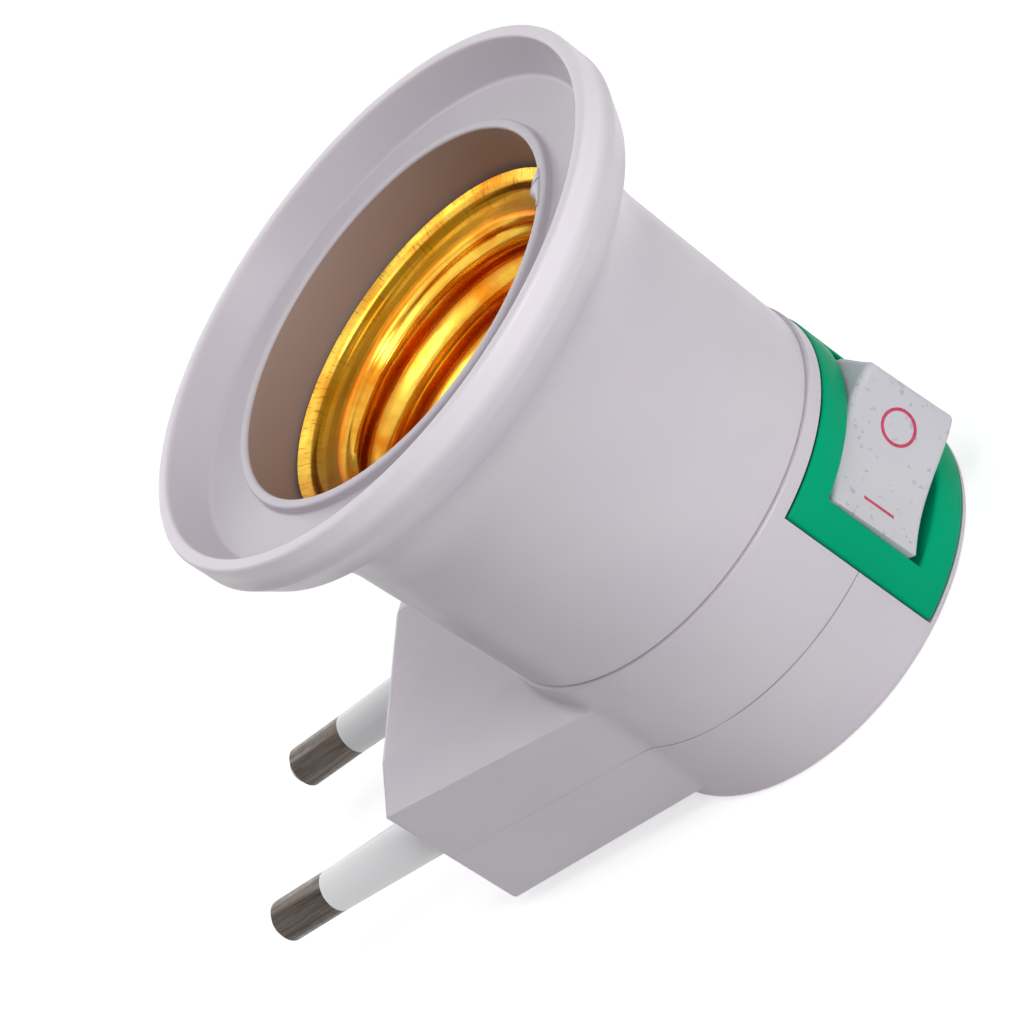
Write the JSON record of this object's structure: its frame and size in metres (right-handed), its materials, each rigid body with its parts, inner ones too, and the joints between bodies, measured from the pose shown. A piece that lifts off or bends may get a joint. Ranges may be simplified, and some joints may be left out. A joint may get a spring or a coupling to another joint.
{
  "type": "plug-in lamp holder",
  "caption": "Plug-in lamp holder: flared screw lamp socket on a round base with a rocker switch and a two-pin plug.",
  "frame": {"origin": "centre of the round base's flat underside, on the lamp axis", "axes": "+Z along the lamp axis, out of the mouth; the rocker switch faces -Y; the plug pins point along +Y"},
  "size_m": [0.0492, 0.0799, 0.049],
  "materials": {
    "white_plastic": "semi-gloss moulded plastic",
    "green_plastic": "satin moulded plastic",
    "rocker_plastic": "satin moulded plastic with printed marks",
    "sleeve_plastic": "smooth white plastic",
    "insulator_plastic": "matt insulating plastic",
    "shell_brass": "bright rolled brass sheet",
    "contact_brass": "stamped brass strip",
    "contact_silver": "silver contact",
    "pin_metal": "dull nickel plate",
    "screw_steel": "zinc-plated steel"
  },
  "bodies": {
    "housing": {"mouth_sleeve": "white_plastic", "base_upper": "white_plastic", "base_lower": "white_plastic", "switch_bezel": "green_plastic", "pin_sleeve_left": "sleeve_plastic", "pin_sleeve_right": "sleeve_plastic", "shell_carrier": "insulator_plastic", "switch_tray": "insulator_plastic", "screw_shell": "shell_brass", "centre_contact": "contact_brass", "centre_rivet": "contact_brass", "shell_rivets": "contact_brass", "common_terminal": "contact_brass", "load_strip": "contact_brass", "live_strip": "contact_brass", "neutral_strip": "contact_brass", "load_contact": "contact_silver", "plug_pin_left": "pin_metal", "plug_pin_right": "pin_metal", "housing_screws": "screw_steel", "core_screws": "screw_steel"},
    "rocker": {"rocker_button": "rocker_plastic", "rocker_spring": "screw_steel"},
    "plunger": {"rocker_plunger": "insulator_plastic"},
    "seesaw": {"rocking_contact": "contact_brass", "moving_contact": "contact_silver"}
  },
  "joints": [
    {"name": "rocker_tilt", "type": "hinge", "parent": "housing", "child": "rocker", "pos_m": [0, -0.01226, 0.00932], "axis": [0, 0, 1], "range_deg": [0, 39.2]},
    {"name": "plunger_slide", "type": "slide", "parent": "rocker", "child": "plunger", "axis": [0.3355, 0.9421, 0], "range_m": [0, 0.00065], "stiffness_N_per_m": 300, "springref_m": 0.002, "deforming": ["rocker_spring"]},
    {"name": "seesaw_tilt", "type": "hinge", "parent": "housing", "child": "seesaw", "pos_m": [0, -0.00506, 0.00932], "axis": [0, 0, 1], "range_deg": [-15.68, 0]}
  ],
  "couplings": [
    {"joint": "seesaw_tilt", "follows": "rocker_tilt", "ratio": -0.4}
  ]
}
